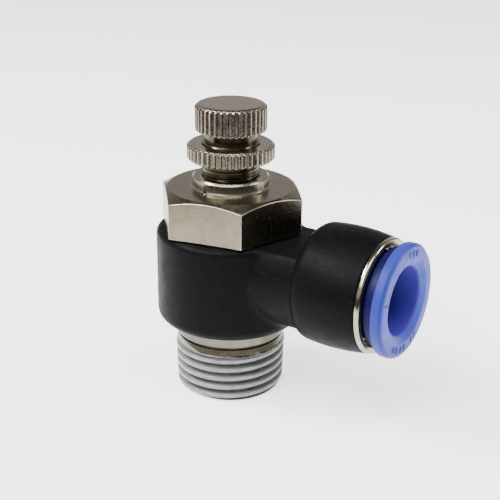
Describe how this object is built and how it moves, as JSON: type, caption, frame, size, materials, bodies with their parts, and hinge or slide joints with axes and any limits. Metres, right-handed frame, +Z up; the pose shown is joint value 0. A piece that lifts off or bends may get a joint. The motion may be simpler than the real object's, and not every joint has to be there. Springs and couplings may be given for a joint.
{
  "type": "elbow flow control valve",
  "caption": "Pneumatic elbow flow control valve with a threaded stud, knurled needle knob, lock nut and a swivelling push-in tube port.",
  "frame": {"origin": "centre of the threaded stud's end face", "axes": "+Z up along the stud and needle, +X out of the tube port"},
  "size_m": [0.0502, 0.0274, 0.0548],
  "materials": {
    "body_nickel": "electroless nickel on brass, turned",
    "stud_nickel": "electroless nickel on brass, thread coated with pale sealant",
    "knob_nickel": "dark nickel, knurled",
    "nut_nickel": "dark nickel, knurled",
    "needle_brass": "electroless nickel on brass",
    "ring_nickel": "bright nickel",
    "brass": "turned",
    "stainless": "stamped",
    "black_pbt": "moulded, satin",
    "blue_pom": "moulded, slightly translucent",
    "white_pom": "moulded",
    "nbr": "matt"
  },
  "bodies": {
    "valve": {"valve_body": "body_nickel", "threaded_stud": "stud_nickel", "seat_ring": "brass", "check_seal": "nbr", "upper_o_ring": "nbr", "lower_o_ring": "nbr", "needle_guide": "body_nickel", "guide_o_ring": "nbr"},
    "needle_carrier": {"needle_o_ring": "nbr"},
    "needle": {"needle": "needle_brass", "knob": "knob_nickel"},
    "lock_nut": {"lock_nut": "nut_nickel"},
    "elbow": {"elbow_body": "black_pbt", "tube_seal": "nbr", "seal_spacer": "white_pom", "claw_seat": "white_pom", "lock_claw": "stainless", "guide_ring": "ring_nickel"},
    "release_sleeve": {"release_sleeve": "blue_pom"}
  },
  "joints": [
    {"name": "elbow_swivel", "type": "hinge", "parent": "valve", "child": "elbow", "pos_m": [0, 0, 0.0254], "axis": [0, 0, 1], "continuous": true},
    {"name": "needle_travel", "type": "slide", "parent": "valve", "child": "needle_carrier", "axis": [0, 0, 1], "range_m": [-0.002, 0.0035]},
    {"name": "needle_turn", "type": "hinge", "parent": "needle_carrier", "child": "needle", "pos_m": [0, 0, 0.045], "axis": [0, 0, 1], "range_deg": [-960, 1680]},
    {"name": "lock_nut_travel", "type": "slide", "parent": "valve", "child": "lock_nut", "axis": [0, 0, 1], "range_m": [-0.0027, 0]},
    {"name": "sleeve_press", "type": "slide", "parent": "elbow", "child": "release_sleeve", "axis": [1, 0, 0], "range_m": [-0.0016, 0], "stiffness_N_per_m": 400}
  ],
  "couplings": [
    {"joint": "needle_travel", "follows": "needle_turn", "m_per_rad": 0.00011937}
  ]
}
